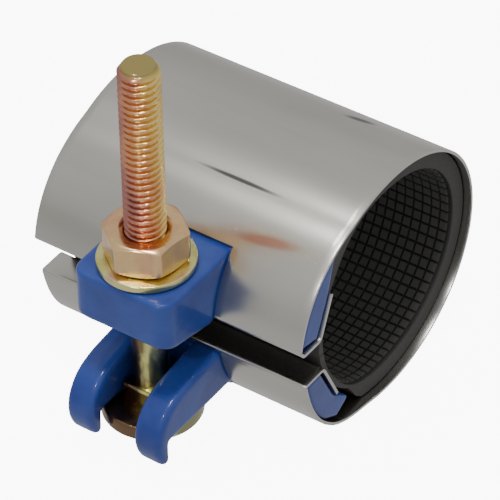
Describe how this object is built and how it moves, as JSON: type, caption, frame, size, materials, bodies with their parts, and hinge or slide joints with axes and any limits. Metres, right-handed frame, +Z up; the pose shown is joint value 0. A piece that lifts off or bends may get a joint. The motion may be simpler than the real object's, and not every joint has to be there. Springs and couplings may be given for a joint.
{
  "type": "pipe repair clamp",
  "caption": "Stainless band clamp with a rubber gasket and blue cast lugs, drawn shut round a leaking pipe by a long bolt and nut.",
  "frame": {"origin": "on the axis of the pipe, at the middle of the band's width", "axes": "+X along the pipe, -Y from the pipe's axis towards the lugs, +Z up along the clamp bolt towards its nut"},
  "size_m": [0.0762, 0.0971, 0.1096],
  "materials": {
    "band": "satin rolled stainless steel",
    "gasket": "matt black rubber",
    "lug_enamel": "glossy blue enamel on cast iron",
    "bolt_plating": "pinkish gold zinc plate",
    "washer_plating": "greenish yellow zinc plate"
  },
  "bodies": {
    "root": {"band_lower": "band", "gasket_lower": "gasket", "lug_lower": "lug_enamel"},
    "upper_half": {"band_upper": "band", "gasket_upper": "gasket", "lug_upper": "lug_enamel"},
    "bolt": {"clamp_bolt": "bolt_plating"},
    "washer": {"washer": "washer_plating"},
    "nut": {"nut": "bolt_plating"}
  },
  "joints": [
    {"name": "band_open", "type": "hinge", "parent": "root", "child": "upper_half", "pos_m": [0, 0.0337, 0], "axis": [-1, 0, 0], "range_deg": [-1.2, 8]},
    {"name": "bolt_rock", "type": "hinge", "parent": "root", "child": "bolt", "pos_m": [0, -0.053, -0.0203], "axis": [-1, 0, 0], "range_deg": [-0.5, 3.3]},
    {"name": "washer_slide", "type": "slide", "parent": "bolt", "child": "washer", "axis": [0, 0, 1], "range_m": [-0.0018, 0.0121]},
    {"name": "nut_turn", "type": "hinge", "parent": "washer", "child": "nut", "pos_m": [0, -0.0448, 0.027], "axis": [0, 0, 1], "range_deg": [-375, 2500]}
  ],
  "couplings": [
    {"joint": "nut_turn", "follows": "washer_slide", "rad_per_m": 3590.4},
    {"joint": "band_open", "follows": "washer_slide", "rad_per_m": 11.468},
    {"joint": "bolt_rock", "follows": "washer_slide", "rad_per_m": 4.7018}
  ]
}
